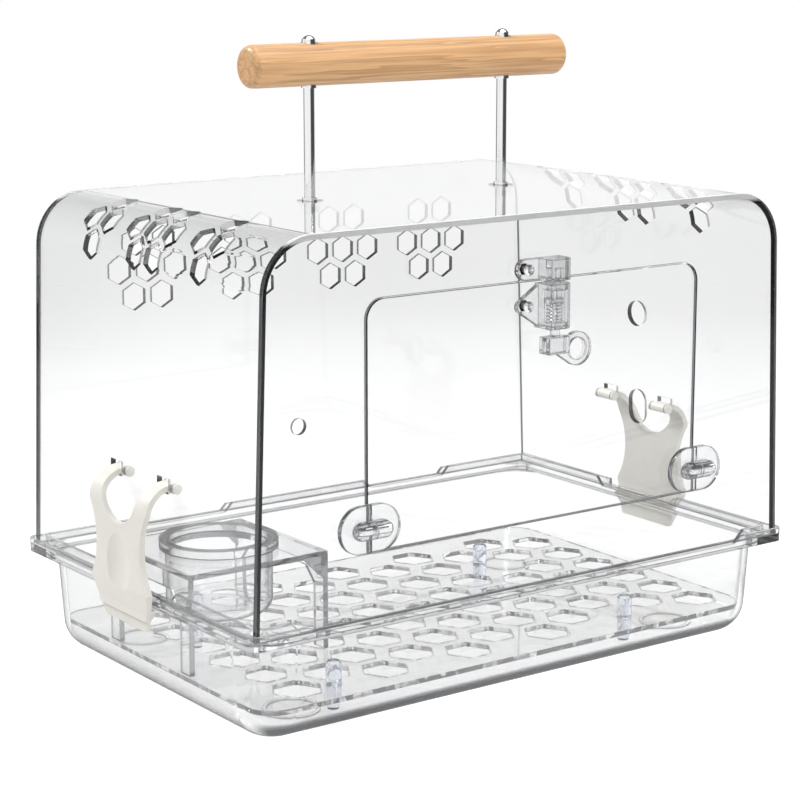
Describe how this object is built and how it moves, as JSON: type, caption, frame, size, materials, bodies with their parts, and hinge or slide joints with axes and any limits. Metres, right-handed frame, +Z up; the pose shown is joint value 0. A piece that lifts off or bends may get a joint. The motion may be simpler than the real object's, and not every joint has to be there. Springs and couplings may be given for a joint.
{
  "type": "bird travel carrier",
  "caption": "Clear travel carrier for a small bird: arched cover with a drop-down latched door, tray base with hexagon grid, hanging cup, side clips and a wooden bar handle on two rods.",
  "frame": {"origin": "centre of the tray's underside, at table height", "axes": "+X to the right of the door, +Y to the back, +Z up"},
  "size_m": [0.362, 0.24, 0.3323],
  "materials": {
    "clear_sheet": "polished clear acrylic sheet",
    "clear_moulded": "clear moulded plastic",
    "peg_blue": "clear bluish plastic",
    "cream": "satin cream plastic",
    "wood": "light wood, oiled",
    "steel": "polished plated steel"
  },
  "bodies": {
    "tray": {"tray": "clear_moulded"},
    "cover": {"cover_shell": "clear_sheet", "front_panel": "clear_sheet", "back_panel": "clear_sheet", "handle_bar": "wood", "handle_rod_left": "steel", "handle_rod_right": "steel", "handle_cap_nuts": "steel", "handle_collars": "steel", "handle_base_nuts": "steel", "hinge_left_frame_leaf": "clear_moulded", "hinge_right_frame_leaf": "clear_moulded", "hinge_left_pin": "steel", "hinge_right_pin": "steel", "latch_keeper": "clear_moulded", "keeper_screw": "steel"},
    "door": {"door_panel": "clear_sheet", "hinge_left_door_leaf": "clear_moulded", "hinge_right_door_leaf": "clear_moulded", "latch_housing": "clear_moulded", "housing_screw": "steel", "latch_spring": "steel"},
    "bolt": {"latch_bolt": "clear_moulded"},
    "clip_left": {"clip_left": "cream"},
    "clip_right": {"clip_right": "cream"},
    "grid": {"grid_floor": "clear_moulded", "grid_pegs": "peg_blue"},
    "stand": {"cup_stand": "clear_sheet"},
    "cup": {"food_cup": "clear_moulded"}
  },
  "joints": [
    {"name": "cover_lift", "type": "slide", "parent": "tray", "child": "cover", "axis": [0, 0, 1], "range_m": [0, 0.08]},
    {"name": "door_hinge", "type": "hinge", "parent": "cover", "child": "door", "pos_m": [0, -0.1168, 0.1032], "axis": [1, 0, 0], "range_deg": [0, 95]},
    {"name": "bolt_slide", "type": "slide", "parent": "door", "child": "bolt", "axis": [0, 0, -1], "range_m": [-0.004, 0.0035], "stiffness_N_per_m": 150, "deforming": ["latch_spring"]},
    {"name": "clip_left_pivot", "type": "hinge", "parent": "cover", "child": "clip_left", "pos_m": [-0.1619, 0, 0.1143], "axis": [0, 1, 0], "range_deg": [-2, 26]},
    {"name": "clip_right_pivot", "type": "hinge", "parent": "cover", "child": "clip_right", "pos_m": [0.1619, 0, 0.1143], "axis": [0, -1, 0], "range_deg": [-2, 26]},
    {"name": "grid_lift", "type": "slide", "parent": "tray", "child": "grid", "axis": [0, 0, 1], "range_m": [0, 0.04]},
    {"name": "stand_lift", "type": "slide", "parent": "grid", "child": "stand", "axis": [0, 0, 1], "range_m": [0, 0.05]},
    {"name": "cup_lift", "type": "slide", "parent": "stand", "child": "cup", "axis": [0, 0, 1], "range_m": [0, 0.05]}
  ]
}
